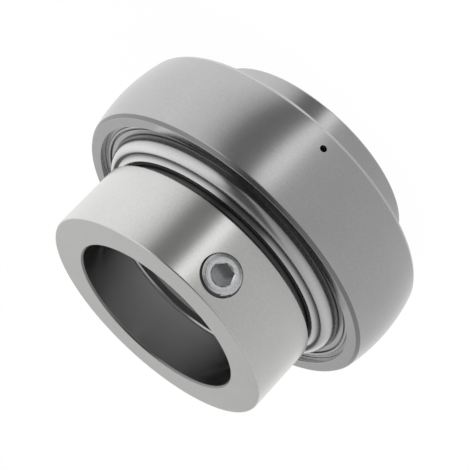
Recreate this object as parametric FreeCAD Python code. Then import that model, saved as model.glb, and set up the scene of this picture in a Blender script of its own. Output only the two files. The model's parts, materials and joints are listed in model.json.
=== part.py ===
import FreeCAD, Part
import math
import os

from FreeCAD import Vector

# Insert bearing with a spherical outside and an eccentric locking collar.
# Millimetres. Z is the shaft axis with the collar on top; Z = 0 is the rear end face of the
# inner ring. Heights in the sections are counted from the raceway plane.

os.makedirs("parts", exist_ok=True)

# Driving dimensions. With these walls the outside comes to 85 mm and the outer ring to 22 mm.
bore_d = 45.0
ball_d = 12.7
ball_count = 9
inner_wall = 3.63
outer_wall = 3.63
rear_length = 21.4
front_stand = 4.8

# Raceways and rings
groove_ratio = 0.52
ball_play = 0.02
inner_land_ratio = 0.2126
outer_land_ratio = 0.1969
outer_chamfer_width = 0.85
outer_chamfer_depth = 0.62
inner_chamfer = 0.4
oil_hole_d = 1.7
oil_hole_drop = 6.5
oil_hole_turn = 6.0
oil_hole_count = 2

# Eccentric cam and locking collar
cam_offset = 1.0
cam_step = 0.55
cam_length = 5.6
cam_play = 0.08
collar_step = 2.4
collar_relief = 0.8
collar_end_gap = 0.3
collar_bore_play = 0.1
collar_front_chamfer = 0.5
collar_back_chamfer = 0.25

# Set screw, on the -Y side of the collar
screw_d = 10.0
screw_length = 8.0
screw_play = 0.05
screw_land = 0.8
screw_front_land = 2.3
screw_stand = 0.5
screw_chamfer = 1.1
hex_width = 5.0
hex_depth = 3.6
hex_turn = 51.0
screw_tip_chamfer = 1.2
screw_cup_d = 5.0
screw_cup_depth = 1.0

# Cage of two pressed halves
cage_sheet = 0.9
pocket_play = 0.2
cage_land_gap = 1.4
rivet_d = 2.0
rivet_head_d = 3.4
rivet_head = 0.7
rivet_play = 0.05

# Seals
cage_seal_gap = 1.1
seal_depth = 1.75
seal_sheet = 0.7
seat_lip = 1.45
groove_undercut = 0.7
bead_r = 0.5
bead_inset = 1.6
lip_gap = 0.3
lip_reach = 1.5
lip_overlap = 2.2
lip_thickness = 0.4

# Flinger pressed on the inner ring
flinger_sheet = 0.6
flinger_hub_rise = 3.3
flinger_valley_rise = 1.75
flinger_dome_rise = 2.2
flinger_slope_rise = 1.45
flinger_hub_bend = 0.7
flinger_valley_bend = 0.25
flinger_dome_bend = 3.0
flinger_hub_width = 1.42
flinger_valley_offset = 2.72
flinger_dome_offset = 3.12
flinger_width = 5.34
flinger_rim_gap = 0.3
flinger_hub_gap = 1.1

# Sizes that follow
bore_r = bore_d / 2
ball_r = ball_d / 2
groove_r = ball_d * groove_ratio
inner_floor = bore_r + inner_wall
pitch_r = inner_floor + ball_play + ball_r
outer_floor = pitch_r + ball_r + ball_play
outside_r = outer_floor + outer_wall
shoulder_r = inner_floor + ball_d * inner_land_ratio
outer_land_r = outer_floor - ball_d * outer_land_ratio
seat_r = outer_land_r + seat_lip
cage_top = ball_r + pocket_play + cage_sheet
seal_bottom = cage_top + cage_seal_gap
seal_top = seal_bottom + seal_sheet
half_width = seal_top + seal_depth
cam_r = shoulder_r - cam_offset - cam_step
cam_foot = half_width + front_stand
front_length = cam_foot + cam_length
collar_r = shoulder_r + collar_step
collar_bore_r = bore_r + collar_bore_play
collar_back = cam_foot + collar_relief
recess_top = front_length + collar_end_gap
screw_r = screw_d / 2
hole_r = screw_r + screw_play
screw_height = recess_top + screw_land + hole_r
collar_front = screw_height + hole_r + screw_front_land
screw_top = collar_r + screw_stand
cage_inner_r = shoulder_r + cage_land_gap
cage_outer_r = outer_land_r - cage_land_gap

UP = Vector(0, 0, 1)
AXIS = Vector(0, 0, 0)
RACE_PLANE = Vector(0, 0, rear_length)


def at(radius, height):
    """Point of a section: radius from the shaft axis, height from the raceway plane."""
    return Vector(radius, 0, rear_length + height)


def section(start, *steps):
    """Closed face. Two numbers are a straight run to a point, four an arc through the first two."""
    edges = []
    here = at(*start)
    for step in steps + (start,):
        there = at(*step[-2:])
        if len(step) == 4:
            edges.append(Part.Arc(here, at(*step[:2]), there).toShape())
        else:
            edges.append(Part.LineSegment(here, there).toShape())
        here = there
    return Part.Face(Part.Wire(edges))


def turned(face):
    """Solid made by turning a section once round the shaft axis."""
    return face.revolve(AXIS, UP, 360)


def tube(inner, outer, bottom, top):
    """Plain ring between two radii and two heights."""
    return turned(section((inner, bottom), (outer, bottom), (outer, top), (inner, top)))


def in_rear(shape):
    """The same piece on the rear side of the raceway plane."""
    return shape.mirror(RACE_PLANE, UP)


def around(shape, count, start=0.0):
    """Copies of a piece evenly round the shaft axis."""
    copies = []
    for number in range(count):
        copy = shape.copy()
        copy.rotate(AXIS, UP, start + number * 360 / count)
        copies.append(copy)
    return copies


def groove_half(centre_r, land_r):
    """Half the width of a raceway groove at the land beside it."""
    return math.sqrt(groove_r ** 2 - (centre_r - land_r) ** 2)


def bent_path(corners):
    """Open wire of straight runs, each inner corner rounded by its own bend radius."""
    edges = []
    here = at(*corners[0][:2])
    for before, corner, after in zip(corners, corners[1:], corners[2:]):
        tip = at(*corner[:2])
        back = (at(*before[:2]) - tip).normalize()
        ahead = (at(*after[:2]) - tip).normalize()
        half_angle = back.getAngle(ahead) / 2
        run = corner[2] / math.tan(half_angle)
        bisector = (back + ahead).normalize()
        middle = tip + bisector * (corner[2] / math.sin(half_angle) - corner[2])
        arc_start = tip + back * run
        arc_end = tip + ahead * run
        edges.append(Part.LineSegment(here, arc_start).toShape())
        edges.append(Part.Arc(arc_start, middle, arc_end).toShape())
        here = arc_end
    edges.append(Part.LineSegment(here, at(*corners[-1][:2])).toShape())
    return Part.Wire(edges)


def inner_ring():
    """Wide inner ring: plain bore, deep raceway, eccentric cam at the collar end."""
    centre_r = inner_floor + groove_r
    half = groove_half(centre_r, shoulder_r)
    body = turned(section(
        (bore_r + inner_chamfer, -rear_length),
        (shoulder_r - inner_chamfer, -rear_length),
        (shoulder_r, inner_chamfer - rear_length),
        (shoulder_r, -half),
        (inner_floor, 0, shoulder_r, half),
        (shoulder_r, cam_foot - inner_chamfer),
        (shoulder_r - inner_chamfer, cam_foot),
        (bore_r, cam_foot),
        (bore_r, inner_chamfer - rear_length),
    ))
    cam = Part.makeCylinder(cam_r, cam_length, at(0, cam_foot))
    cam.translate(Vector(0, cam_offset, 0))
    rim = [edge for edge in cam.Edges if edge.BoundBox.ZMin > rear_length + front_length - 1e-6]
    cam = cam.makeChamfer(inner_chamfer, rim)
    mouth = section(
        (0, cam_foot),
        (bore_r, cam_foot),
        (bore_r, front_length - inner_chamfer),
        (bore_r + inner_chamfer, front_length),
        (0, front_length),
    )
    return body.fuse(cam.cut(turned(mouth))).removeSplitter()


def outer_ring():
    """Outer ring with a spherical outside, one raceway, a seal seat at each face and oil holes."""
    centre_r = outer_floor - groove_r
    half = groove_half(centre_r, outer_land_r)
    edge_height = half_width - outer_chamfer_width
    edge_r = math.sqrt(outside_r ** 2 - edge_height ** 2)
    face_r = edge_r - outer_chamfer_depth
    undercut_r = seat_r + groove_undercut
    ring = turned(section(
        (seat_r, half_width),
        (face_r, half_width),
        (edge_r, edge_height),
        (outside_r, 0, edge_r, -edge_height),
        (face_r, -half_width),
        (seat_r, -half_width),
        (seat_r, -seal_top),
        (undercut_r, -seal_top),
        (undercut_r, -seal_bottom),
        (outer_land_r, -seal_bottom),
        (outer_land_r, -half),
        (outer_floor, 0, outer_land_r, half),
        (outer_land_r, seal_bottom),
        (undercut_r, seal_bottom),
        (undercut_r, seal_top),
        (seat_r, seal_top),
    ))
    hole = Part.makeCylinder(oil_hole_d / 2, outside_r, at(0, -oil_hole_drop), Vector(0, -1, 0))
    return ring.cut(around(hole, oil_hole_count, oil_hole_turn))


def balls():
    """One row of balls, the first on the +X side."""
    ball = Part.makeSphere(ball_r, at(pitch_r, 0))
    return around(ball, ball_count)


def rivet_angle():
    """Turn of the first rivet from the first ball."""
    return 180 / ball_count


def cage_half():
    """Pressed cage half on the collar side: a flat ring with a round pocket over each ball."""
    pocket = Part.makeSphere(cage_top, at(pitch_r, 0))
    room = Part.makeSphere(ball_r + pocket_play, at(pitch_r, 0))
    hole = Part.makeCylinder(rivet_d / 2 + rivet_play, cage_sheet, at(pitch_r, 0))
    blank = tube(cage_inner_r, cage_outer_r, 0, cage_sheet)
    band = tube(cage_inner_r, cage_outer_r, 0, ball_d)
    domes = [dome.common(band) for dome in around(pocket, ball_count)]
    openings = around(room, ball_count) + around(hole, ball_count, rivet_angle())
    return blank.fuse(domes).cut(openings).removeSplitter()


def cage_rivets():
    """Rivets on the pitch circle, with heads on the flat outer faces of both cage halves."""
    reach = cage_sheet + rivet_head
    shank = Part.makeCylinder(rivet_d / 2, 2 * reach, at(pitch_r, -reach))
    head = Part.makeCylinder(rivet_head_d / 2, rivet_head, at(pitch_r, cage_sheet))
    rivet = shank.fuse([head, in_rear(head)]).removeSplitter()
    return Part.makeCompound(around(rivet, ball_count, rivet_angle()))


def seal_carrier():
    """Sheet washer snapped into the outer ring's groove, with a round bead beside its rim."""
    bead_centre = seat_r - bead_inset
    rim_r = seat_r + groove_undercut - lip_gap
    inner_r = shoulder_r + lip_reach + lip_gap
    return turned(section(
        (inner_r, seal_bottom),
        (rim_r, seal_bottom),
        (rim_r, seal_top - seal_sheet / 2),
        (bead_centre + bead_r, seal_top - seal_sheet / 2),
        (bead_centre + bead_r, seal_top),
        (bead_centre, seal_top + bead_r, bead_centre - bead_r, seal_top),
        (inner_r, seal_top),
    ))


def seal_lip():
    """Rubber ring bonded on the carrier, its lip just clear of the inner ring."""
    tip_r = shoulder_r + lip_gap
    root_r = shoulder_r + lip_reach
    back_r = root_r + lip_overlap
    return turned(section(
        (root_r, seal_top),
        (back_r, seal_top),
        (back_r, seal_top + lip_thickness),
        (root_r - lip_thickness, seal_top + lip_thickness),
        (tip_r, seal_bottom),
        (tip_r + lip_thickness, seal_bottom - lip_thickness / 2),
    ))


def flinger():
    """Pressed shield on the inner ring: hub, valley, round dome and a rim down to the seal."""
    rim_r = shoulder_r + flinger_width
    path = bent_path([
        (shoulder_r, half_width + flinger_hub_rise - flinger_sheet - flinger_hub_bend - flinger_hub_gap),
        (shoulder_r, half_width + flinger_hub_rise, flinger_hub_bend),
        (shoulder_r + flinger_hub_width, half_width + flinger_hub_rise, flinger_hub_bend),
        (shoulder_r + flinger_valley_offset, half_width + flinger_valley_rise, flinger_valley_bend),
        (shoulder_r + flinger_dome_offset, half_width + flinger_dome_rise, flinger_valley_bend),
        (rim_r, half_width + flinger_slope_rise, flinger_dome_bend),
        (rim_r, seal_top + flinger_rim_gap),
    ])
    sheet = path.makeOffset2D(-flinger_sheet, join=0, fill=True, openResult=True)
    return turned(sheet)


def collar():
    """Locking collar: shaft bore, eccentric recess over the cam and one tapped cross hole."""
    body = turned(section(
        (collar_bore_r, collar_back),
        (collar_r - collar_back_chamfer, collar_back),
        (collar_r, collar_back + collar_back_chamfer),
        (collar_r, collar_front - collar_front_chamfer),
        (collar_r - collar_front_chamfer, collar_front),
        (collar_bore_r + inner_chamfer, collar_front),
        (collar_bore_r, collar_front - inner_chamfer),
    ))
    recess = Part.makeCylinder(cam_r + cam_play, recess_top - collar_back, at(0, collar_back))
    recess.translate(Vector(0, cam_offset, 0))
    hole = Part.makeCylinder(hole_r, collar_r, at(0, screw_height), Vector(0, -1, 0))
    return body.cut([recess, hole])


def set_screw():
    """Headless screw with a hexagon socket and a cup point, its axis along -Y."""
    foot = screw_top - screw_length
    cup_r = screw_cup_d / 2
    tip_r = screw_r - screw_tip_chamfer
    points = [
        Vector(0, 0, screw_cup_depth),
        Vector(cup_r, 0, 0),
        Vector(tip_r, 0, 0),
        Vector(screw_r, 0, screw_tip_chamfer),
        Vector(screw_r, 0, screw_length - screw_chamfer),
        Vector(screw_r - screw_chamfer, 0, screw_length),
        Vector(0, 0, screw_length),
        Vector(0, 0, screw_cup_depth),
    ]
    blank = turned(Part.Face(Part.makePolygon(points)))
    corner_r = hex_width / math.sqrt(3)
    turns = [math.radians(60 * corner) for corner in range(7)]
    corners = [Vector(corner_r * math.cos(turn), corner_r * math.sin(turn), 0) for turn in turns]
    socket = Part.Face(Part.makePolygon(corners)).extrude(Vector(0, 0, hex_depth))
    socket.rotate(AXIS, UP, hex_turn)
    socket.translate(Vector(0, 0, screw_length - hex_depth))
    screw = blank.cut(socket)
    screw.rotate(AXIS, Vector(1, 0, 0), 90)
    screw.translate(Vector(0, -foot, rear_length + screw_height))
    return screw


nodes = {
    "inner_ring": inner_ring(),
    "outer_ring": outer_ring(),
    "cage_half_front": cage_half(),
    "cage_half_rear": in_rear(cage_half()),
    "cage_rivets": cage_rivets(),
    "seal_carrier_front": seal_carrier(),
    "seal_carrier_rear": in_rear(seal_carrier()),
    "seal_lip_front": seal_lip(),
    "seal_lip_rear": in_rear(seal_lip()),
    "flinger_front": flinger(),
    "flinger_rear": in_rear(flinger()),
    "locking_collar": collar(),
    "set_screw": set_screw(),
}
for number, ball in enumerate(balls(), start=1):
    nodes["ball_%d" % number] = ball

for name, shape in nodes.items():
    print(name, shape.isValid(), len(shape.Solids), "%.1f mm3" % shape.Volume)
    shape.exportStep("parts/%s.step" % name)
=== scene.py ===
# %% [markdown]
# # Insert bearing with an eccentric locking collar
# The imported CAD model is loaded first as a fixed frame. Every solid comes in as an object at the
# origin with its true place in its mesh, so a new piece that is modelled in metres in the same
# frame fits without any measuring by eye. Z is the shaft axis and the collar is on top. The
# bearing's own lengths are written in millimetres, and heights from the plane through its balls.

# %% The frame
import bpy
import json
import math
from mathutils import Matrix, Vector


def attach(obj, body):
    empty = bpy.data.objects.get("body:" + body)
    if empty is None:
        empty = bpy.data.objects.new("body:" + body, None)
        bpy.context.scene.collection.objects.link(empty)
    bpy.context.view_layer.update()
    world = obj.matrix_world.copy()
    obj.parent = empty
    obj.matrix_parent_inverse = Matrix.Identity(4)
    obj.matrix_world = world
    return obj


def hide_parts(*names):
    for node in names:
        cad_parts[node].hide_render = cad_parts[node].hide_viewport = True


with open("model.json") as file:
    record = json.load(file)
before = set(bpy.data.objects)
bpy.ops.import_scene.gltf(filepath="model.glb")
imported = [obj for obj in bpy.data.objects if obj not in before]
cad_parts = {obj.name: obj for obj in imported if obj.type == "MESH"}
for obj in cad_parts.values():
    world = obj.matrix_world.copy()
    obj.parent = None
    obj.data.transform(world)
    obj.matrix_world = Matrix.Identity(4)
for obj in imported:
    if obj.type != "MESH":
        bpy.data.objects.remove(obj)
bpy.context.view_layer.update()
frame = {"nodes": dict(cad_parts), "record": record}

MM = 0.001
PLANE = 21.4

# %% [markdown]
# ## Camera
# The bearing was photographed with a long lens from in front of the set screw, a little above the
# plane of the balls and rolled so far that the shaft axis runs down to the left. A camera with a
# narrow view at half a metre gives the same faint perspective. Its rotation is set by the two
# directions that are right and up in the picture, because a rolled view is hard to read from angles.

# %% Camera
SENSOR_WIDTH = 36.0
LENS = 157.5
CAMERA_PLACE = Vector((62.364, -449.435, 212.262))
RIGHT_IN_PICTURE = Vector((-0.68328, -0.35731, -0.63675))
UP_IN_PICTURE = Vector((0.71886, -0.17638, -0.67241))

camera = bpy.data.objects.new("camera", bpy.data.cameras.new("camera"))
bpy.context.scene.collection.objects.link(camera)
camera.data.sensor_width = SENSOR_WIDTH
camera.data.lens = LENS
camera.data.clip_start = 0.05
camera.data.clip_end = 20.0
back = RIGHT_IN_PICTURE.cross(UP_IN_PICTURE).normalized()
above = back.cross(RIGHT_IN_PICTURE).normalized()
turn = Matrix((RIGHT_IN_PICTURE.normalized(), above, back)).transposed().to_4x4()
camera.matrix_world = Matrix.Translation(CAMERA_PLACE * MM) @ turn
bpy.context.scene.camera = camera
print("camera stands at", tuple(round(v, 4) for v in camera.location))

# %% [markdown]
# ## Floor
# A plain white sweep under the bearing. To the camera it is plain white paper, mixed with a little
# of its real, lit surface so that the soft contact shadow stays. Reflections pass it by and reach
# the light tent below, which gives the rings the long bands of light that they have in the hand.
# Inside the bore lies a round spot of paper that glows plain white to reflections, though nothing
# lights it there. It is smaller than the bore, so it paints only a soft sheen on the dark wall.

# %% Floor
WHITE = (1, 1, 1, 1)
PAPER_GREY = (0.86, 0.86, 0.86, 1)
PAPER_ROUGH = 0.8
PLAIN_SHARE = 0.985
FLOOR_SIZE = 8.0


def new_material(name):
    """Material with nodes, its tree and its finished shader."""
    material = bpy.data.materials.new(name)
    material.use_nodes = True
    tree = material.node_tree
    return material, tree, tree.nodes["Principled BSDF"]


def measure(tree, operation, first, second=0.0, third=0.0):
    """Output of a math node, each input a number or another node's output."""
    node = tree.nodes.new("ShaderNodeMath")
    node.operation = operation
    for socket, value in zip(node.inputs, (first, second, third)):
        if isinstance(value, float):
            socket.default_value = value
        else:
            tree.links.new(value, socket)
    return node.outputs[0]


def show_white(tree, share, surface):
    """Shader that is plain white for a share of the rays and the given surface for the rest."""
    white = tree.nodes.new("ShaderNodeEmission")
    white.inputs["Color"].default_value = WHITE
    mix = tree.nodes.new("ShaderNodeMixShader")
    tree.links.new(share, mix.inputs[0])
    tree.links.new(surface, mix.inputs[1])
    tree.links.new(white.outputs[0], mix.inputs[2])
    return mix.outputs[0]


def plain_to_camera(tree, ray):
    """Share of plain white: nearly all of it for the camera, none for any other ray."""
    return measure(tree, "MULTIPLY", ray["Is Camera Ray"], PLAIN_SHARE)


def plain_in_mirrors(tree, ray):
    """Share of plain white: all of it for the camera and for reflections."""
    return measure(tree, "MAXIMUM", ray["Is Camera Ray"], ray["Is Glossy Ray"])


def lay_paper(piece, name, white_share):
    """Covers a piece of the set with white paper, shown plain for a share of the rays."""
    paper, tree, shader = new_material(name)
    shader.inputs["Base Color"].default_value = PAPER_GREY
    shader.inputs["Roughness"].default_value = PAPER_ROUGH
    share = white_share(tree, tree.nodes.new("ShaderNodeLightPath").outputs)
    surface = show_white(tree, share, shader.outputs[0])
    tree.links.new(surface, tree.nodes["Material Output"].inputs["Surface"])
    piece.data.materials.append(paper)


bpy.ops.object.select_all(action="DESELECT")
bpy.ops.mesh.primitive_plane_add(size=FLOOR_SIZE, location=(0, 0, 0))
floor = bpy.context.object
floor.name = "floor"
lay_paper(floor, "white_paper", plain_to_camera)
floor.visible_glossy = False
print("floor,", FLOOR_SIZE, "metres each way")

# %% Glowing spot inside the bore
SPOT_R = 17.0
SPOT_LIFT = 0.02

bpy.ops.object.select_all(action="DESELECT")
bpy.ops.mesh.primitive_circle_add(vertices=64, radius=SPOT_R * MM, fill_type="NGON",
                                  location=(0, 0, SPOT_LIFT * MM))
glowing_disc = bpy.context.object
glowing_disc.name = "glowing_spot_in_the_bore"
lay_paper(glowing_disc, "glowing_spot_material", plain_in_mirrors)
print("paper spot, radius", SPOT_R)

# %% [markdown]
# ## Light
# Bright metal shows what stands round it, so the studio matters more than the lamps. The bearing
# stands in a light tent: a white shell with soft grey panels beside the camera, one narrow bright
# strip and one dark flag, which draw the bright line and the dark band along the collar and the
# rings. Only reflections see the tent. The world is white to the camera and gives a soft plain
# light to matt surfaces, and one large soft lamp above gives the shadow its direction.

# %% World
SOFT_LIGHT = 0.55

world = bpy.data.worlds.new("studio")
bpy.context.scene.world = world
world.use_nodes = True
tree = world.node_tree
soft = tree.nodes["Background"]
soft.inputs["Color"].default_value = WHITE
soft.inputs["Strength"].default_value = SOFT_LIGHT
plain = tree.nodes.new("ShaderNodeBackground")
plain.inputs["Color"].default_value = WHITE
plain.inputs["Strength"].default_value = 1.0
ray = tree.nodes.new("ShaderNodeLightPath").outputs
seen = measure(tree, "MAXIMUM", ray["Is Camera Ray"], ray["Is Glossy Ray"])
seen = measure(tree, "MAXIMUM", seen, ray["Is Transmission Ray"])
mix = tree.nodes.new("ShaderNodeMixShader")
tree.links.new(seen, mix.inputs[0])
tree.links.new(soft.outputs[0], mix.inputs[1])
tree.links.new(plain.outputs[0], mix.inputs[2])
tree.links.new(mix.outputs[0], tree.nodes["World Output"].inputs["Surface"])
print("world light", SOFT_LIGHT)

# %% Lamp
LAMP_PLACE = Vector((-0.5, -0.5, 1.1))
LAMP_AIM = Vector((0, 0, 0.03))
LAMP_SIZE = 0.9
LAMP_POWER = 14.0

bpy.ops.object.light_add(type="AREA", location=LAMP_PLACE)
lamp = bpy.context.object
lamp.name = "soft_lamp"
lamp.data.shape = "DISK"
lamp.data.size = LAMP_SIZE
lamp.data.energy = LAMP_POWER
lamp.rotation_euler = (LAMP_AIM - LAMP_PLACE).to_track_quat("-Z", "Y").to_euler()
lamp.visible_glossy = False
print("lamp", round((LAMP_AIM - LAMP_PLACE).length, 2), "metres away")

# %% Light tent
TENT_R = 1.2
CAMERA_SIDE = math.radians(-90 + 7.9)
PANELS = [
    # degrees round from the camera's side towards +X, brightness
    (-180, 0.90), (-150, 0.78), (-138, 0.66), (-110, 0.56), (-80, 0.52), (-40, 0.47), (-6, 0.46),
    (3, 0.62), (10, 1.60), (15, 0.66), (20, 0.17), (40, 0.17), (47, 0.45), (60, 0.76),
    (80, 0.86), (120, 0.90), (160, 0.92),
]
ROOF = [
    # share of the way across, from the camera's left to its right, brightness
    (0.0, 0.60), (0.15, 0.55), (0.25, 0.42), (0.38, 0.40), (0.50, 0.45), (0.65, 0.52),
    (0.75, 0.75), (0.83, 0.85), (1.0, 0.80),
]
# Places are shares of the tent's radius. The flag's edge is given in half widths of the flag.
EAVES = (0.06, 0.28)
FLAG_LEVEL = 0.08
FLAG_PLACE = 0.5
FLAG_LEAN = -0.55
FLAG_HALF = 0.18
FLAG_WIDENING = 0.17
FLAG_EDGE = (1.3, 0.7)
FLAG_START = (-0.1, 0.35)
BACK_LIFT = 0.16
BACK_START = (0.0, -0.7)

bpy.ops.object.select_all(action="DESELECT")
bpy.ops.mesh.primitive_uv_sphere_add(segments=96, ring_count=48, radius=TENT_R, location=(0, 0, 0))
tent = bpy.context.object
tent.name = "light_tent"
bpy.ops.object.mode_set(mode="EDIT")
bpy.ops.mesh.select_all(action="SELECT")
bpy.ops.mesh.flip_normals()
bpy.ops.object.mode_set(mode="OBJECT")


def grey_ramp(tree, stops, interpolation):
    """Colour ramp through stops of (place, grey level)."""
    node = tree.nodes.new("ShaderNodeValToRGB")
    node.color_ramp.interpolation = interpolation
    elements = node.color_ramp.elements
    elements.remove(elements[-1])
    for number, (stop, level) in enumerate(stops):
        element = elements[0] if number == 0 else elements.new(stop)
        element.position = stop
        element.color = (level, level, level, 1)
    return node


def fade(tree, value, start, end):
    """Soft step from 0 at start to 1 at end."""
    node = tree.nodes.new("ShaderNodeMapRange")
    node.interpolation_type = "SMOOTHSTEP"
    node.inputs["From Min"].default_value = start
    node.inputs["From Max"].default_value = end
    tree.links.new(value, node.inputs["Value"])
    return node.outputs[0]


def blend_greys(tree, share, first, second):
    """Mix from a first colour to a second one, or to a grey level, as share goes from 0 to 1."""
    node = tree.nodes.new("ShaderNodeMix")
    node.data_type = "RGBA"
    tree.links.new(share, node.inputs["Factor"])
    tree.links.new(first, node.inputs["A"])
    if isinstance(second, float):
        node.inputs["B"].default_value = (second, second, second, 1)
    else:
        tree.links.new(second, node.inputs["B"])
    return node.outputs["Result"]


cloth, tree, shader = new_material("tent_cloth")
tree.nodes.remove(shader)
coordinates = tree.nodes.new("ShaderNodeTexCoord")
mapping = tree.nodes.new("ShaderNodeMapping")
mapping.inputs["Rotation"].default_value = (0, 0, -CAMERA_SIDE)
mapping.inputs["Scale"].default_value = (1 / TENT_R, 1 / TENT_R, 1 / TENT_R)
radial = tree.nodes.new("ShaderNodeTexGradient")
radial.gradient_type = "RADIAL"
panels = grey_ramp(tree, [((degrees + 180) / 360, level) for degrees, level in PANELS], "B_SPLINE")
split = tree.nodes.new("ShaderNodeSeparateXYZ")
tree.links.new(coordinates.outputs["Object"], mapping.inputs["Vector"])
tree.links.new(mapping.outputs[0], radial.inputs["Vector"])
tree.links.new(mapping.outputs[0], split.inputs[0])
tree.links.new(radial.outputs["Fac"], panels.inputs["Fac"])
front, across, height = split.outputs["X"], split.outputs["Y"], split.outputs["Z"]
roof = grey_ramp(tree, ROOF, "B_SPLINE")
tree.links.new(measure(tree, "MULTIPLY_ADD", across, 0.5, 0.5), roof.inputs["Fac"])
flag_place = measure(tree, "MULTIPLY_ADD", height, FLAG_LEAN, FLAG_PLACE)
flag_half = measure(tree, "MULTIPLY_ADD", height, FLAG_WIDENING, FLAG_HALF)
off_flag = measure(tree, "ABSOLUTE", measure(tree, "SUBTRACT", across, flag_place))
flag_side = fade(tree, measure(tree, "DIVIDE", off_flag, flag_half), *FLAG_EDGE)
flag = measure(tree, "MULTIPLY", flag_side, fade(tree, front, *FLAG_START))
lift = measure(tree, "MULTIPLY_ADD", fade(tree, front, *BACK_START), BACK_LIFT, 1.0)
lifted_roof = measure(tree, "MULTIPLY", roof.outputs["Color"], lift)
flagged_roof = blend_greys(tree, flag, lifted_roof, FLAG_LEVEL)
glow = tree.nodes.new("ShaderNodeEmission")
lit = blend_greys(tree, fade(tree, height, *EAVES), panels.outputs["Color"], flagged_roof)
tree.links.new(lit, glow.inputs["Color"])
tree.links.new(glow.outputs[0], tree.nodes["Material Output"].inputs["Surface"])
tent.data.materials.append(cloth)
tent.visible_camera = False
tent.visible_diffuse = False
tent.visible_transmission = False
tent.visible_volume_scatter = False
tent.visible_shadow = False
print("light tent with", len(PANELS), "stops round it and", len(ROOF), "across its roof")

# %% [markdown]
# ## Steel
# All the bright parts are steel, told apart by how they were machined. Turning and grinding leave
# fine lines that run round the axis, so their pattern is a noise of the radius and the height
# alone. A wide cloud and a fine grain are laid over it. The lines turn the roughness and the bump a
# little, and the reflection is blurred across them through the anisotropic socket. Shade is painted
# into some finishes by their radius, darker in the creases where shade falls. On the screw the same
# painted shade draws thin dark rings where the thread runs out on its end, and darkens its rim.

# %% Steel
SCREW_HEIGHT = 27.55
CLOUD_SCALE = 90.0
GRAIN_SCALE = 2200.0
LINE_SHADE = 0.05
LINE_ROUGH = 0.04


def noise(tree, vector, scale, detail, roughness=0.5):
    """Output of a noise node."""
    node = tree.nodes.new("ShaderNodeTexNoise")
    node.inputs["Scale"].default_value = scale
    node.inputs["Detail"].default_value = detail
    node.inputs["Roughness"].default_value = roughness
    tree.links.new(vector, node.inputs["Vector"])
    return node.outputs["Fac"]


def spread(tree, value, low, high):
    """A value of 0 to 1 spread from low to high."""
    return measure(tree, "MULTIPLY_ADD", value, high - low, low)


def machined_steel(name, colour, rough, lines, bump, cross=0.6, mottle=0.05, grain=0.1, tint=(1, 1, 1),
                   painted_radial_shade=(), on_screw=False):
    """Bright steel with fine lines round the shaft axis, or round the set screw's own axis.

    lines is their count over a millimetre and bump their height. cross is how far the reflection
    is blurred across them. mottle and grain are how far the cloud and the grain turn the
    brightness. The rows of painted shade, if given, set the share of it that is left at some radii.
    """
    material, tree, shader = new_material(name)
    shader.inputs["Metallic"].default_value = 1.0
    shader.inputs["Anisotropic"].default_value = cross
    shader.inputs["Anisotropic Rotation"].default_value = 0.25
    where = tree.nodes.new("ShaderNodeTexCoord").outputs["Object"]
    if on_screw:
        mapping = tree.nodes.new("ShaderNodeMapping")
        mapping.inputs["Rotation"].default_value = (math.radians(90), 0, 0)
        mapping.inputs["Location"].default_value = (0, (PLANE + SCREW_HEIGHT) * MM, 0)
        tree.links.new(where, mapping.inputs["Vector"])
        where = mapping.outputs[0]
    split = tree.nodes.new("ShaderNodeSeparateXYZ")
    tree.links.new(where, split.inputs[0])
    squares = measure(tree, "MULTIPLY", split.outputs["X"], split.outputs["X"])
    squares = measure(tree, "MULTIPLY_ADD", split.outputs["Y"], split.outputs["Y"], squares)
    radius = measure(tree, "SQRT", squares)
    turned = tree.nodes.new("ShaderNodeCombineXYZ")
    tree.links.new(radius, turned.inputs["X"])
    tree.links.new(split.outputs["Z"], turned.inputs["Y"])
    fine = noise(tree, turned.outputs[0], lines / MM, detail=3.0, roughness=0.6)
    cloud = noise(tree, where, CLOUD_SCALE, detail=4.0)
    speck = noise(tree, where, GRAIN_SCALE, detail=2.0, roughness=0.7)
    shade = measure(tree, "MULTIPLY", spread(tree, cloud, 1 - mottle, 1 + mottle),
                    spread(tree, fine, 1 - LINE_SHADE, 1 + LINE_SHADE))
    shade = measure(tree, "MULTIPLY", shade, spread(tree, speck, 1 - grain, 1 + grain))
    # Painted shade: the colour is darkened by a ramp over the radius.
    if painted_radial_shade:
        inside, outside = painted_radial_shade[0][0], painted_radial_shade[-1][0]
        ramp = grey_ramp(tree, [((r - inside) / (outside - inside), level) for r, level in painted_radial_shade], "LINEAR")
        way_out = measure(tree, "SUBTRACT", radius, inside * MM)
        tree.links.new(measure(tree, "DIVIDE", way_out, (outside - inside) * MM), ramp.inputs["Fac"])
        shade = measure(tree, "MULTIPLY", shade, ramp.outputs["Color"])
    paint = tree.nodes.new("ShaderNodeVectorMath")
    paint.operation = "SCALE"
    paint.inputs[0].default_value = [colour * share for share in tint]
    tree.links.new(shade, paint.inputs["Scale"])
    tree.links.new(paint.outputs[0], shader.inputs["Base Color"])
    tree.links.new(spread(tree, fine, rough - LINE_ROUGH, rough + LINE_ROUGH), shader.inputs["Roughness"])
    relief = tree.nodes.new("ShaderNodeBump")
    relief.inputs["Strength"].default_value = 1.0
    relief.inputs["Distance"].default_value = bump * MM
    tree.links.new(fine, relief.inputs["Height"])
    tree.links.new(relief.outputs[0], shader.inputs["Normal"])
    way = tree.nodes.new("ShaderNodeTangent")
    way.direction_type = "RADIAL"
    way.axis = "Z"
    tree.links.new(way.outputs[0], shader.inputs["Tangent"])
    return material
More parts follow.
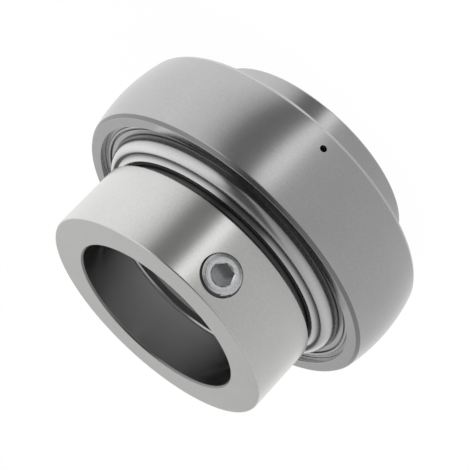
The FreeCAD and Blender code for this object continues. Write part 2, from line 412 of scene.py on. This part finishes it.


# Painted shade, each a row of (radius, share of brightness left)
# Painted shade on the flinger: dark at the hub's foot, in the valley and at the rim's edge.
FLINGER_PAINTED_SHADE = [(28.9, 0.14), (29.5, 0.2), (29.85, 0.95), (30.3, 1.0), (30.7, 0.82), (31.0, 0.55),
                (31.3, 0.16), (31.75, 0.16), (32.05, 0.65), (32.45, 1.0), (33.2, 0.97), (33.7, 0.88),
                (34.0, 0.66), (34.17, 0.36)]
# Painted shade on the seal carrier: dark beside the flinger's rim, in the groove inside the bead and towards
# the outer ring's seat.
CARRIER_PAINTED_SHADE = [(34.4, 0.3), (34.7, 0.85), (35.5, 0.85), (35.62, 0.45), (35.95, 0.45), (36.1, 0.7),
                (36.4, 0.9), (36.85, 0.8), (37.0, 0.7)]
# Painted shade on the screw: thin dark rings where the thread runs out on its end, and a dark rim beside the
# hole.
THREAD_PAINTED_SHADE = [(3.55, 1.0), (3.66, 0.6), (3.77, 1.0), (3.9, 1.0), (4.01, 0.6), (4.12, 1.0), (4.25, 1.0),
               (4.36, 0.6), (4.47, 1.0), (4.6, 1.0), (4.72, 0.6), (4.8, 0.9), (4.95, 0.4), (5.2, 0.2)]

ground_steel = machined_steel("ground_steel", 0.585, 0.235, 6.0, 0.0006)
faced_steel = machined_steel("faced_steel", 0.63, 0.16, 5.0, 0.0004, cross=0.3)
turned_steel = machined_steel("turned_steel", 0.80, 0.24, 4.0, 0.0008, tint=(1.0, 1.005, 0.985))
pressed_steel = machined_steel("pressed_steel", 0.78, 0.22, 3.0, 0.0006)
# Pressed steel with the flinger's painted shade.
flinger_shade_painted_steel = machined_steel("flinger_shade_painted_steel", 0.78, 0.22, 3.0, 0.0006, painted_radial_shade=FLINGER_PAINTED_SHADE)
# Pressed steel with the seal carrier's painted shade.
carrier_shade_painted_steel = machined_steel("carrier_shade_painted_steel", 0.78, 0.22, 3.0, 0.0006, painted_radial_shade=CARRIER_PAINTED_SHADE)
strip_steel = machined_steel("strip_steel", 0.5, 0.38, 2.0, 0.001)
polished_steel = machined_steel("polished_steel", 0.75, 0.08, 8.0, 0.0001, cross=0.0, grain=0.0)
# Zinc plate with the screw's painted shade.
screw_shade_painted_zinc = machined_steel("screw_shade_painted_zinc", 0.98, 0.36, 3.0, 0.03, cross=0.0, grain=0.4,
                            tint=(0.965, 1.0, 1.0), painted_radial_shade=THREAD_PAINTED_SHADE, on_screw=True)
# Painted shade: darker zinc for the inside of the hexagon socket.
socket_shade_painted_zinc = machined_steel("socket_shade_painted_zinc", 0.45, 0.25, 5.0, 0.002, cross=0.0, grain=0.3,
                             tint=(0.97, 1.0, 1.01), on_screw=True)
# Painted highlight: lighter steel that draws a thin light line on the outer ring's rear edge.
rim_highlight_painted_steel = machined_steel("rim_highlight_painted_steel", 0.74, 0.3, 5.0, 0.0006)
# Painted shade: steel darkened for the chamfers, painting the dark reflection that they show.
chamfer_shade_painted_steel = machined_steel("chamfer_shade_painted_steel", 0.29, 0.34, 5.0, 0.001)
bored_steel = machined_steel("bored_steel", 0.56, 0.2, 6.0, 0.0001, grain=0.03)
bore_mouth_steel = machined_steel("bore_mouth_steel", 0.14, 0.25, 6.0, 0.0001)
# Painted shade: near black steel for surfaces in deep shade, under the collar and inside the screw's hole.
shadow_painted_steel = machined_steel("shadow_painted_steel", 0.13, 0.36, 4.0, 0.0008)
print("steel finishes:", len([m for m in bpy.data.materials if m.name.endswith("steel")]))

# %% [markdown]
# ## Rubber and the CAD nodes' finishes
# The sealing lips are moulded from black rubber with a fine matt skin. They, the balls, the cage and
# its rivets are inside the bearing, where the solids' own shapes are right, so those nodes stay and
# only get a finish. The other nodes get theirs too, though a dressed piece hides them.

# %% Rubber
SKIN_SCALE = 1500.0
SKIN_BUMP = 0.003
SKIN_ROUGH = (0.5, 0.7)
SKIN_BLACKS = [(0.3, 0.014), (0.7, 0.026)]

rubber, tree, shader = new_material("nitrile_rubber")
skin = noise(tree, tree.nodes.new("ShaderNodeTexCoord").outputs["Object"], SKIN_SCALE, detail=3.0)
blacks = grey_ramp(tree, SKIN_BLACKS, "LINEAR")
tree.links.new(skin, blacks.inputs["Fac"])
tree.links.new(blacks.outputs["Color"], shader.inputs["Base Color"])
tree.links.new(spread(tree, skin, *SKIN_ROUGH), shader.inputs["Roughness"])
relief = tree.nodes.new("ShaderNodeBump")
relief.inputs["Distance"].default_value = SKIN_BUMP * MM
tree.links.new(skin, relief.inputs["Height"])
tree.links.new(relief.outputs[0], shader.inputs["Normal"])

# %% Finishes on the CAD nodes
finishes = {
    "ground_ring": ground_steel,
    "outer_ground": ground_steel,
    "collar_turned": turned_steel,
    "pressed_bright": pressed_steel,
    "cage_strip": strip_steel,
    "zinc_screw": screw_shade_painted_zinc,
    "polished_balls": polished_steel,
    "seal_rubber": rubber,
}
for part in frame["record"]["subparts"]:
    node = frame["nodes"][part["node"]]
    for slot in node.material_slots:
        slot.material = finishes[part["material_slot"]]

# %% [markdown]
# ## Drawing and turning
# Nearly every part of a bearing is turned, ground or spun round the shaft axis, so each one is drawn
# as half of its section and spun. A section starts as one point, which is extruded from corner to
# corner and closed. Corners that a tool or a stone has broken are rounded before the spin, which is
# far easier than beveling the finished ring. The fine steps round the axis keep the outlines round
# in a close view.

# %% Drawing and turning
STEPS = 256
SAME_CORNER = 0.0001
WELD = 0.0005
CRISP_ANGLE = 30


def place(corner):
    """Place in metres of a section's corner: radius and height from the raceway plane."""
    return Vector((corner[0], 0, PLANE + corner[1])) * MM


def from_origin(corners):
    """Corners of a section whose heights are given from the frame's origin."""
    return [(corner[0], corner[1] - PLANE, *corner[2:]) for corner in corners]


def arc(centre, radius, start, end, steps):
    """Corners along an arc of a section. Angles in degrees from the outward direction."""
    angles = [math.radians(start + (end - start) * n / steps) for n in range(steps + 1)]
    return [(centre[0] + radius * math.cos(a), centre[1] + radius * math.sin(a)) for a in angles]


def activate(piece):
    """Makes a piece the only selected object and the active one."""
    bpy.ops.object.select_all(action="DESELECT")
    piece.select_set(True)
    bpy.context.view_layer.objects.active = piece


def pick(piece, test):
    """Selects, in edit mode, the points whose place passes a test."""
    bpy.ops.mesh.select_all(action="DESELECT")
    bpy.ops.object.mode_set(mode="OBJECT")
    for vertex in piece.data.vertices:
        vertex.select = test(vertex.co)
    bpy.ops.object.mode_set(mode="EDIT")


def draw_section(name, corners):
    """Closed outline in edit mode. A third number rounds a corner over that run, in that many steps."""
    bpy.ops.object.select_all(action="DESELECT")
    bpy.ops.mesh.primitive_plane_add(size=MM, location=(0, 0, 0))
    piece = bpy.context.object
    piece.name = name
    bpy.ops.object.mode_set(mode="EDIT")
    bpy.ops.mesh.select_mode(type="VERT")
    bpy.ops.mesh.select_all(action="SELECT")
    bpy.ops.mesh.merge(type="CENTER")
    bpy.ops.transform.translate(value=place(corners[0]))
    for here, there in zip(corners, corners[1:]):
        step = place(there) - place(here)
        bpy.ops.mesh.extrude_region_move(TRANSFORM_OT_translate={"value": step})
    bpy.ops.mesh.select_all(action="SELECT")
    bpy.ops.mesh.edge_face_add()
    bpy.ops.mesh.delete(type="ONLY_FACE")
    for corner in corners:
        if len(corner) > 2:
            spot = place(corner)
            pick(piece, lambda co: (co - spot).length < SAME_CORNER * MM)
            bpy.ops.mesh.bevel(affect="VERTICES", offset=corner[2] * MM, segments=corner[3])
    return piece


def spin(piece):
    """The drawn outline spun once round the shaft axis into a closed body."""
    bpy.ops.mesh.select_all(action="SELECT")
    bpy.ops.mesh.spin(steps=STEPS, angle=math.tau, center=(0, 0, 0), axis=(0, 0, 1))
    bpy.ops.mesh.select_all(action="SELECT")
    bpy.ops.mesh.remove_doubles(threshold=WELD * MM)
    bpy.ops.mesh.normals_make_consistent(inside=False)
    bpy.ops.object.mode_set(mode="OBJECT")
    print("spun:", piece.name, len(piece.data.polygons), "faces")


def combine(piece, tool, operation):
    """Cuts, joins or trims a piece with a tool, which is used up."""
    activate(piece)
    change = piece.modifiers.new(operation, "BOOLEAN")
    change.operation = operation
    change.object = tool
    bpy.ops.object.modifier_apply(modifier=change.name)
    bpy.data.objects.remove(tool)
    print(operation.lower() + ":", piece.name, len(piece.data.polygons), "faces")


def move(piece, offset, turn=0.0, axis="X"):
    """Turns a piece's mesh about an axis through the origin, then moves it by millimetres."""
    activate(piece)
    bpy.ops.object.mode_set(mode="EDIT")
    bpy.ops.mesh.select_all(action="SELECT")
    if turn:
        clockwise = -math.radians(turn)
        bpy.ops.transform.rotate(value=clockwise, orient_axis=axis, center_override=(0, 0, 0))
    bpy.ops.transform.translate(value=Vector(offset) * MM)
    bpy.ops.object.mode_set(mode="OBJECT")


def rear_copy(piece, name):
    """Copy with its own mesh, mirrored to the rear of the raceway plane."""
    activate(piece)
    bpy.ops.object.duplicate()
    copy = bpy.context.object
    copy.name = name
    bpy.ops.object.mode_set(mode="EDIT")
    bpy.ops.mesh.select_all(action="SELECT")
    bpy.ops.transform.resize(value=(1, 1, -1), center_override=(0, 0, PLANE * MM))
    bpy.ops.mesh.normals_make_consistent(inside=False)
    bpy.ops.object.mode_set(mode="OBJECT")
    return copy


# %% [markdown]
# ## Finishing a piece
# Real machined edges are crisp but never knife sharp. The small roundings are in the sections, so
# the shading is smooth up to an angle and weighted by the faces' size, which keeps the large flats
# flat. Each piece then rides on its body of the frame, stands for its CAD node and may get other
# finishes on some faces, picked by their place. Some of them are painted shade or a painted highlight.

# %% Finishing a piece
def span(piece):
    """Lowest and highest corner of a piece's mesh."""
    places = [vertex.co for vertex in piece.data.vertices]
    return ([min(co[i] for co in places) for i in range(3)],
            [max(co[i] for co in places) for i in range(3)])


def finish_piece(piece, material, body, slot, *nodes):
    """Smooth shading with crisp edges, the finish, and the piece's place in the frame."""
    activate(piece)
    bpy.ops.object.shade_smooth_by_angle(angle=math.radians(CRISP_ANGLE))
    weighted = piece.modifiers.new("weighted", "WEIGHTED_NORMAL")
    weighted.keep_sharp = True
    bpy.ops.object.modifier_apply(modifier=weighted.name)
    piece.data.materials.clear()
    piece.data.materials.append(material)
    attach(piece, body)
    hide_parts(*nodes)
    low, high = [[round(value / MM, 2) for value in corner] for corner in span(piece)]
    print(piece.name, len(piece.data.polygons), "faces, from", low, "to", high)


def refinish(piece, material, test):
    """Another finish on the faces whose centre, in millimetres, passes a test."""
    piece.data.materials.append(material)
    for face in piece.data.polygons:
        if test(face.center / MM):
            face.material_index = len(piece.data.materials) - 1


def from_axis(spot):
    """Distance from the shaft axis."""
    return math.hypot(spot.x, spot.y)


def above_plane(spot):
    """Height above the raceway plane."""
    return spot.z - PLANE


# %% [markdown]
# ## Outer ring
# The outside is part of a sphere, ground so that the ring can tilt in its housing. The faces are
# flat and narrow, with a short steep chamfer at the rim and a groove inside for the seal. It could be
# cut from a sphere, but a drawn section holds the raceway, the grooves and the edges in one closed
# mesh. Two small oil holes lead from the housing to the balls. They are drilled last.

# %% Outer ring
SPHERE_R = 42.5
SPHERE_ROWS = 40
RIM_ANGLE = 13.82
HALF = 11.0
FACE_R = 40.65
SEAT_R = 37.82
UNDERCUT_R = 38.52
OUTER_LAND_R = 36.37
SEAL_TOP = 9.25
SEAL_BOTTOM = 8.55
RACE_R = 6.604
RACE_ROWS = 24
OUTER_RACE_CENTRE = 32.266
OUTER_RACE_ANGLE = 51.6
# Roundings of edges: run and steps
RIM_EDGE = (0.22, 4)
SEAT_EDGE = (0.15, 3)

sphere = arc((0, 0), SPHERE_R, RIM_ANGLE, -RIM_ANGLE, SPHERE_ROWS)
outer_race = arc((OUTER_RACE_CENTRE, 0), RACE_R, -OUTER_RACE_ANGLE, OUTER_RACE_ANGLE, RACE_ROWS)
outer = draw_section("outer_ring_ground", [
    (SEAT_R, HALF, *SEAT_EDGE), (FACE_R, HALF, *RIM_EDGE), (*sphere[0], *RIM_EDGE), *sphere[1:-1],
    (*sphere[-1], *RIM_EDGE), (FACE_R, -HALF, *RIM_EDGE), (SEAT_R, -HALF, *SEAT_EDGE),
    (SEAT_R, -SEAL_TOP), (UNDERCUT_R, -SEAL_TOP), (UNDERCUT_R, -SEAL_BOTTOM),
    (OUTER_LAND_R, -SEAL_BOTTOM), *outer_race, (OUTER_LAND_R, SEAL_BOTTOM),
    (UNDERCUT_R, SEAL_BOTTOM), (UNDERCUT_R, SEAL_TOP), (SEAT_R, SEAL_TOP),
])
spin(outer)

# %% Oil holes
OIL_HOLE_R = 0.85
DRILL_LENGTH = 12.0
DRILL_MIDDLE = 40.0
OIL_HEIGHT = -6.5
OIL_TURN = 6.0

for side in (0, 180):
    bpy.ops.object.select_all(action="DESELECT")
    bpy.ops.mesh.primitive_cylinder_add(vertices=40, radius=OIL_HOLE_R * MM, depth=DRILL_LENGTH * MM,
                                        location=(0, 0, 0))
    drill = bpy.context.object
    move(drill, (0, -DRILL_MIDDLE, 0), 90, "X")
    move(drill, (0, 0, PLANE + OIL_HEIGHT), OIL_TURN + side, "Z")
    combine(outer, drill, "DIFFERENCE")

# %% Outer ring's finishes
ON_FACE = 0.02
FACE_OUT = 40.6
CHAMFER_FROM = 10.1
REAR_EDGE_R = 41.0
REAR_EDGE = (-10.3, -10.08)

finish_piece(outer, ground_steel, "outer", "outer_ground", "outer_ring")
# Painted shade on the outer ring's front chamfer.
refinish(outer, chamfer_shade_painted_steel,
         lambda spot: from_axis(spot) > FACE_OUT and above_plane(spot) > CHAMFER_FROM)
# Painted highlight on the rounding at the outer ring's rear edge.
refinish(outer, rim_highlight_painted_steel,
         lambda spot: from_axis(spot) > REAR_EDGE_R and REAR_EDGE[0] < above_plane(spot) < REAR_EDGE[1])
refinish(outer, faced_steel,
         lambda spot: from_axis(spot) <= FACE_OUT and abs(above_plane(spot)) > HALF - ON_FACE)

# %% [markdown]
# ## Inner ring
# One piece, longer than the outer ring at both sides. Its collar end is ground off centre by one
# millimetre, which makes the cam that the collar turns on. The ring is drawn solid, joined to the
# cam and bored last, as the real one is finished last in its bore.

# %% Inner ring
BACK = -21.4
FRONT = 21.4
SHOULDER_R = 28.83
INNER_RACE_CENTRE = 32.734
INNER_RACE_ANGLE = 53.76
CAM_FOOT = 15.8
CAM_R = 27.28
CAM_OFFSET = 1.0
CHAMFER = 0.4
BROKEN_EDGE = (0.12, 3)
FINE_EDGE = (0.1, 3)
# How far a cutter or a joined body reaches past the piece
PAST = 1.0

inner_race = arc((INNER_RACE_CENTRE, 0), RACE_R, 180 + INNER_RACE_ANGLE, 180 - INNER_RACE_ANGLE, RACE_ROWS)
inner = draw_section("inner_ring_ground", [
    (0, BACK), (SHOULDER_R - CHAMFER, BACK, *BROKEN_EDGE), (SHOULDER_R, BACK + CHAMFER, *BROKEN_EDGE),
    *inner_race, (SHOULDER_R, CAM_FOOT - CHAMFER, *FINE_EDGE),
    (SHOULDER_R - CHAMFER, CAM_FOOT, *FINE_EDGE), (0, CAM_FOOT),
])
spin(inner)
cam = draw_section("cam", [
    (0, CAM_FOOT - PAST), (CAM_R, CAM_FOOT - PAST), (CAM_R, FRONT - CHAMFER, *FINE_EDGE),
    (CAM_R - CHAMFER, FRONT, *FINE_EDGE), (0, FRONT),
])
spin(cam)
move(cam, (0, CAM_OFFSET, 0))
combine(inner, cam, "UNION")

# %% Bore
BORE_R = 22.5
BORE_MOUTH = 19.4
BORE_ROWS = (-12.0, 0.0, BORE_MOUTH)

reamer = draw_section("reamer", [
    (0, BACK - PAST), (BORE_R + CHAMFER + PAST, BACK - PAST), (BORE_R, BACK + CHAMFER, *BROKEN_EDGE),
    *[(BORE_R, row) for row in BORE_ROWS], (BORE_R, FRONT - CHAMFER, *BROKEN_EDGE),
    (BORE_R + CHAMFER + PAST, FRONT + PAST), (0, FRONT + PAST),
])
spin(reamer)
combine(inner, reamer, "DIFFERENCE")

# %% Inner ring's finishes
STEP_R = 27.5
SHADOW_PAINTED_FROM = 5.0
SHADOW_PAINTED_TO = CAM_FOOT + 0.1
END_LINE_R = BORE_R + 0.25
END_LINE_FROM = 20.9

finish_piece(inner, ground_steel, "inner", "ground_ring", "inner_ring")
# Painted shade on the ring's outside under the flinger's hub and the collar.
refinish(inner, shadow_painted_steel,
         lambda spot: from_axis(spot) > STEP_R and SHADOW_PAINTED_FROM < above_plane(spot) < SHADOW_PAINTED_TO)
refinish(inner, turned_steel,
         lambda spot: from_axis(spot) < END_LINE_R and above_plane(spot) > END_LINE_FROM)
refinish(inner, bored_steel, lambda spot: from_axis(spot) < BORE_R + ON_FACE)
refinish(inner, bore_mouth_steel,
         lambda spot: from_axis(spot) < BORE_R + ON_FACE and above_plane(spot) > BORE_MOUTH)

# %% [markdown]
# ## Seal carriers
# A washer of sheet steel with a rolled bead near its rim, and a small groove inside the bead, is
# snapped into the outer ring's groove. Only the bead, the groove and a little of the flat show beside
# the flinger. It is drawn and spun like the rings, and the rear one is its mirrored copy.

# %% Seal carriers
CARRIER_IN = 30.63
CARRIER_OUT = 38.22
CARRIER_EDGE = (0.1, 2)
BEAD_R = 36.4
BEAD_FOOT = SEAL_TOP - 0.1
BEAD_ROUND = 0.45
GROOVE_OUT = BEAD_R - 0.5
GROOVE_IN = BEAD_R - 0.7
GROOVE_FLOOR = SEAL_TOP - 0.3

bead = arc((BEAD_R, BEAD_FOOT), BEAD_ROUND, 0, 180, 12)
carrier = draw_section("seal_carrier_front_pressed", [
    (CARRIER_IN, SEAL_BOTTOM), (CARRIER_OUT, SEAL_BOTTOM, *CARRIER_EDGE),
    (CARRIER_OUT, BEAD_FOOT, *CARRIER_EDGE), *bead, (GROOVE_OUT, GROOVE_FLOOR), (GROOVE_IN, GROOVE_FLOOR),
    (GROOVE_IN - 0.05, SEAL_TOP, 0.05, 2), (CARRIER_IN, SEAL_TOP),
])
spin(carrier)
carrier_rear = rear_copy(carrier, "seal_carrier_rear_pressed")
finish_piece(carrier, carrier_shade_painted_steel, "outer", "pressed_bright", "seal_carrier_front")
finish_piece(carrier_rear, carrier_shade_painted_steel, "outer", "pressed_bright", "seal_carrier_rear")

# %% [markdown]
# ## Flingers
# Bright shields pressed on the inner ring, which throw dirt and water off the seals. The sheet rises
# to a round hub under the collar, dips into a narrow valley and swells into a dome that ends in a
# short rim close over the carrier. Its thickness is drawn, so the rim and the hub have real edges.

# %% Flingers
SHEET = 0.6
HUB_FOOT = 11.9
HUB_TOP = 14.3
HUB_R = 30.25
VALLEY = (31.55, 12.75)
DOME_FOOT = (31.95, 13.2)
DOME_R = 34.17
DOME_TOP = 12.45
RIM_FOOT = 9.32
SHEET_EDGE = (0.06, 2)

# The last six corners are the underside, about a sheet's thickness inside the rest.
flinger = draw_section("flinger_front_pressed", [
    (SHOULDER_R, HUB_FOOT), (SHOULDER_R, HUB_TOP, 0.68, 8), (HUB_R, HUB_TOP, 0.32, 6), (*VALLEY, 0.28, 6),
    (*DOME_FOOT, 0.16, 5), (DOME_R, DOME_TOP, 2.12, 24), (DOME_R, RIM_FOOT, *SHEET_EDGE),
    (DOME_R - SHEET, RIM_FOOT, *SHEET_EDGE),
    (DOME_R - SHEET, 12.02, 1.3, 12), (32.13, 12.5), (31.54, 11.83, 0.5, 6), (29.97, HUB_TOP - SHEET),
    (SHOULDER_R + SHEET, HUB_TOP - SHEET), (SHOULDER_R + SHEET, HUB_FOOT),
])
spin(flinger)
flinger_rear = rear_copy(flinger, "flinger_rear_pressed")
finish_piece(flinger, flinger_shade_painted_steel, "inner", "pressed_bright", "flinger_front")
finish_piece(flinger_rear, flinger_shade_painted_steel, "inner", "pressed_bright", "flinger_rear")

# %% [markdown]
# ## Locking collar
# A plain turned ring with an eccentric recess that fits over the cam, and one tapped hole for the
# set screw. The screw has some play in its hole and sits towards one side, which leaves a dark gap
# at the other. The wall is drawn in several rows so that the hole is cut into small faces and the
# long reflections stay even round it. The cutters are drawn and spun like the collar itself.

# %% Locking collar
COLLAR_R = 31.23
COLLAR_BACK = 16.6
COLLAR_FRONT = 34.9
COLLAR_CHAMFER = 0.25
COLLAR_ROUND = (0.45, 6)
COLLAR_BORE_R = BORE_R + 0.1
COLLAR_BORE_ROWS = (25.0, 30.0)
FACE_ROW_R = 27.0
WALL_ROW = 1.5
RECESS_R = CAM_R + 0.08
RECESS_TOP = 21.7

rows = [(COLLAR_R, COLLAR_BACK + 1 + n * WALL_ROW) for n in range(11)]
collar = draw_section("locking_collar_turned", [
    (0, COLLAR_BACK), (COLLAR_R - COLLAR_CHAMFER, COLLAR_BACK, *FINE_EDGE),
    (COLLAR_R, COLLAR_BACK + COLLAR_CHAMFER, *FINE_EDGE), *rows, (COLLAR_R, COLLAR_FRONT, *COLLAR_ROUND),
    (FACE_ROW_R, COLLAR_FRONT), (0, COLLAR_FRONT),
])
spin(collar)
borer = draw_section("borer", [
    (0, COLLAR_BACK - PAST), (COLLAR_BORE_R, COLLAR_BACK - PAST),
    *[(COLLAR_BORE_R, row) for row in COLLAR_BORE_ROWS],
    (COLLAR_BORE_R, COLLAR_FRONT - CHAMFER, *BROKEN_EDGE),
    (COLLAR_BORE_R + CHAMFER + PAST, COLLAR_FRONT + PAST), (0, COLLAR_FRONT + PAST),
])
spin(borer)
combine(collar, borer, "DIFFERENCE")
recess = draw_section("recess", [
    (0, COLLAR_BACK - PAST), (RECESS_R, COLLAR_BACK - PAST), (RECESS_R, RECESS_TOP), (0, RECESS_TOP),
])
spin(recess)
move(recess, (0, CAM_OFFSET, 0))
combine(collar, recess, "DIFFERENCE")

# %% Tapped hole
HOLE_R = 5.16
HOLE_PLAY = 0.14
TAP_FROM = 15.0

tap = draw_section("tap", from_origin([
    (0, TAP_FROM), (HOLE_R, TAP_FROM), (HOLE_R, COLLAR_R + PAST), (0, COLLAR_R + PAST),
]))
spin(tap)
move(tap, (0, 0, PLANE + SCREW_HEIGHT + HOLE_PLAY), 90, "X")
combine(collar, tap, "DIFFERENCE")

# %% Collar's finishes
MOUTH_R = BORE_R + 0.6
MOUTH_FOOT = COLLAR_FRONT - CHAMFER

finish_piece(collar, turned_steel, "collar", "collar_turned", "locking_collar")
# Painted shade on the chamfer at the mouth of the collar's bore.
refinish(collar, chamfer_shade_painted_steel,
         lambda spot: from_axis(spot) < MOUTH_R and above_plane(spot) < COLLAR_FRONT - ON_FACE)
refinish(collar, bored_steel,
         lambda spot: from_axis(spot) < COLLAR_BORE_R + ON_FACE and above_plane(spot) < MOUTH_FOOT)
# Painted shade on the collar's back face, over the flinger.
refinish(collar, shadow_painted_steel, lambda spot: above_plane(spot) < COLLAR_BACK + ON_FACE)

# %% [markdown]
# ## Set screw
# A short headless screw with a hexagon socket and a cup point. Its thread is one ridge swept along
# a helix and joined to the core, then trimmed by the blank with its chamfered ends, so the thread
# runs out over the chamfer in thin crescents, as the real one's does. The ridge's upper side is
# drawn in rows, which keeps the trimmed faces small. The socket is punched and its mouth drilled and
# countersunk. The screw is made upright at the origin and then laid into its hole.

# %% Core
SCREW_LENGTH = 8.0
SCREW_R = 5.0
CORE_R = 4.15
CORE_BOTTOM = 0.1
CORE_TOP = SCREW_LENGTH - 0.05

core = draw_section("set_screw_threaded", from_origin([
    (0, CORE_BOTTOM), (CORE_R, CORE_BOTTOM), (CORE_R, CORE_TOP), (0, CORE_TOP),
]))
spin(core)

# %% Thread
PITCH = 1.25
TURNS = 9
TURN_STEPS = 72
ROOT = (3.9, -1.74)
CREST_R = 5.05
CREST_BOTTOM = -1.21
CREST_TOP = -1.07
FLANK_IN = 0.23
FLANK_UP = 0.106

upper_flank = [(CREST_R - n * FLANK_IN, CREST_TOP + n * FLANK_UP) for n in range(6)]
ridge = draw_section("ridge", from_origin([ROOT, (CREST_R, CREST_BOTTOM), *upper_flank]))
bpy.ops.object.mode_set(mode="OBJECT")
sweep = ridge.modifiers.new("sweep", "SCREW")
sweep.axis = "Z"
sweep.angle = math.tau
sweep.screw_offset = PITCH * MM
sweep.iterations = TURNS
sweep.steps = TURN_STEPS
bpy.ops.object.modifier_apply(modifier=sweep.name)
bpy.ops.object.mode_set(mode="EDIT")
bpy.ops.mesh.select_all(action="SELECT")
bpy.ops.mesh.remove_doubles(threshold=WELD * MM)
bpy.ops.mesh.fill_holes(sides=8)
bpy.ops.mesh.select_all(action="SELECT")
bpy.ops.mesh.normals_make_consistent(inside=False)
bpy.ops.object.mode_set(mode="OBJECT")
combine(core, ridge, "UNION")

# %% Chamfered ends
CUP_R = 2.5
CUP_DEPTH = 1.0
POINT_R = 3.8
POINT_CHAMFER = 1.2
END_R = 3.9
END_CHAMFER = 0.7

blank = draw_section("blank", from_origin([
    (0, CUP_DEPTH), (CUP_R, 0), (POINT_R, 0), (SCREW_R, POINT_CHAMFER),
    (SCREW_R, SCREW_LENGTH - END_CHAMFER, 0.15, 3), (END_R, SCREW_LENGTH, 0.25, 4), (0, SCREW_LENGTH),
]))
spin(blank)
combine(core, blank, "INTERSECT")

# %% Socket
SOCKET_CORNER_R = 2.887
SOCKET_DEPTH = 3.6
PUNCH_LENGTH = 5.0
HEX_TURN = 21.0
DRILL_R = 2.45
DRILL_TIP = 3.9
DRILL_SIDE = 3.4
SINK_DEPTH = 0.5
SINK_PAST = 0.4

bpy.ops.object.select_all(action="DESELECT")
bpy.ops.mesh.primitive_cylinder_add(vertices=6, radius=SOCKET_CORNER_R * MM, depth=PUNCH_LENGTH * MM,
                                    location=(0, 0, 0))
punch = bpy.context.object
move(punch, (0, 0, SCREW_LENGTH - SOCKET_DEPTH + PUNCH_LENGTH / 2), HEX_TURN, "Z")
combine(core, punch, "DIFFERENCE")
sink = draw_section("sink", from_origin([
    (0, SCREW_LENGTH - DRILL_TIP), (DRILL_R, SCREW_LENGTH - DRILL_SIDE), (DRILL_R, SCREW_LENGTH - SINK_DEPTH),
    (DRILL_R + SINK_DEPTH + SINK_PAST, SCREW_LENGTH + SINK_PAST), (0, SCREW_LENGTH + SINK_PAST),
]))
spin(sink)
combine(core, sink, "DIFFERENCE")

# %% Screw's place and finishes
SCREW_TOP = 31.73
SOCKET_R = 2.7
SOCKET_FROM = 0.25
CREVICE_R = 4.2
CREVICE_DEPTH = 0.35


def from_screw(spot):
    """Distance from the screw's own axis."""
    return math.hypot(spot.x, spot.z - PLANE - SCREW_HEIGHT)


move(core, (0, -(SCREW_TOP - SCREW_LENGTH), PLANE + SCREW_HEIGHT), 90, "X")
finish_piece(core, screw_shade_painted_zinc, "screw", "zinc_screw", "set_screw")
# Painted shade inside the socket.
refinish(core, socket_shade_painted_zinc,
         lambda spot: from_screw(spot) < SOCKET_R and spot.y > SOCKET_FROM - SCREW_TOP)
# Painted shade on the thread inside the hole, round the screw.
refinish(core, shadow_painted_steel,
         lambda spot: from_screw(spot) > CREVICE_R and spot.y > CREVICE_DEPTH - COLLAR_R)

# %% [markdown]
# The view transform is Standard so that white paper is white.

# %% Finish
bpy.context.scene.view_settings.view_transform = "Standard"
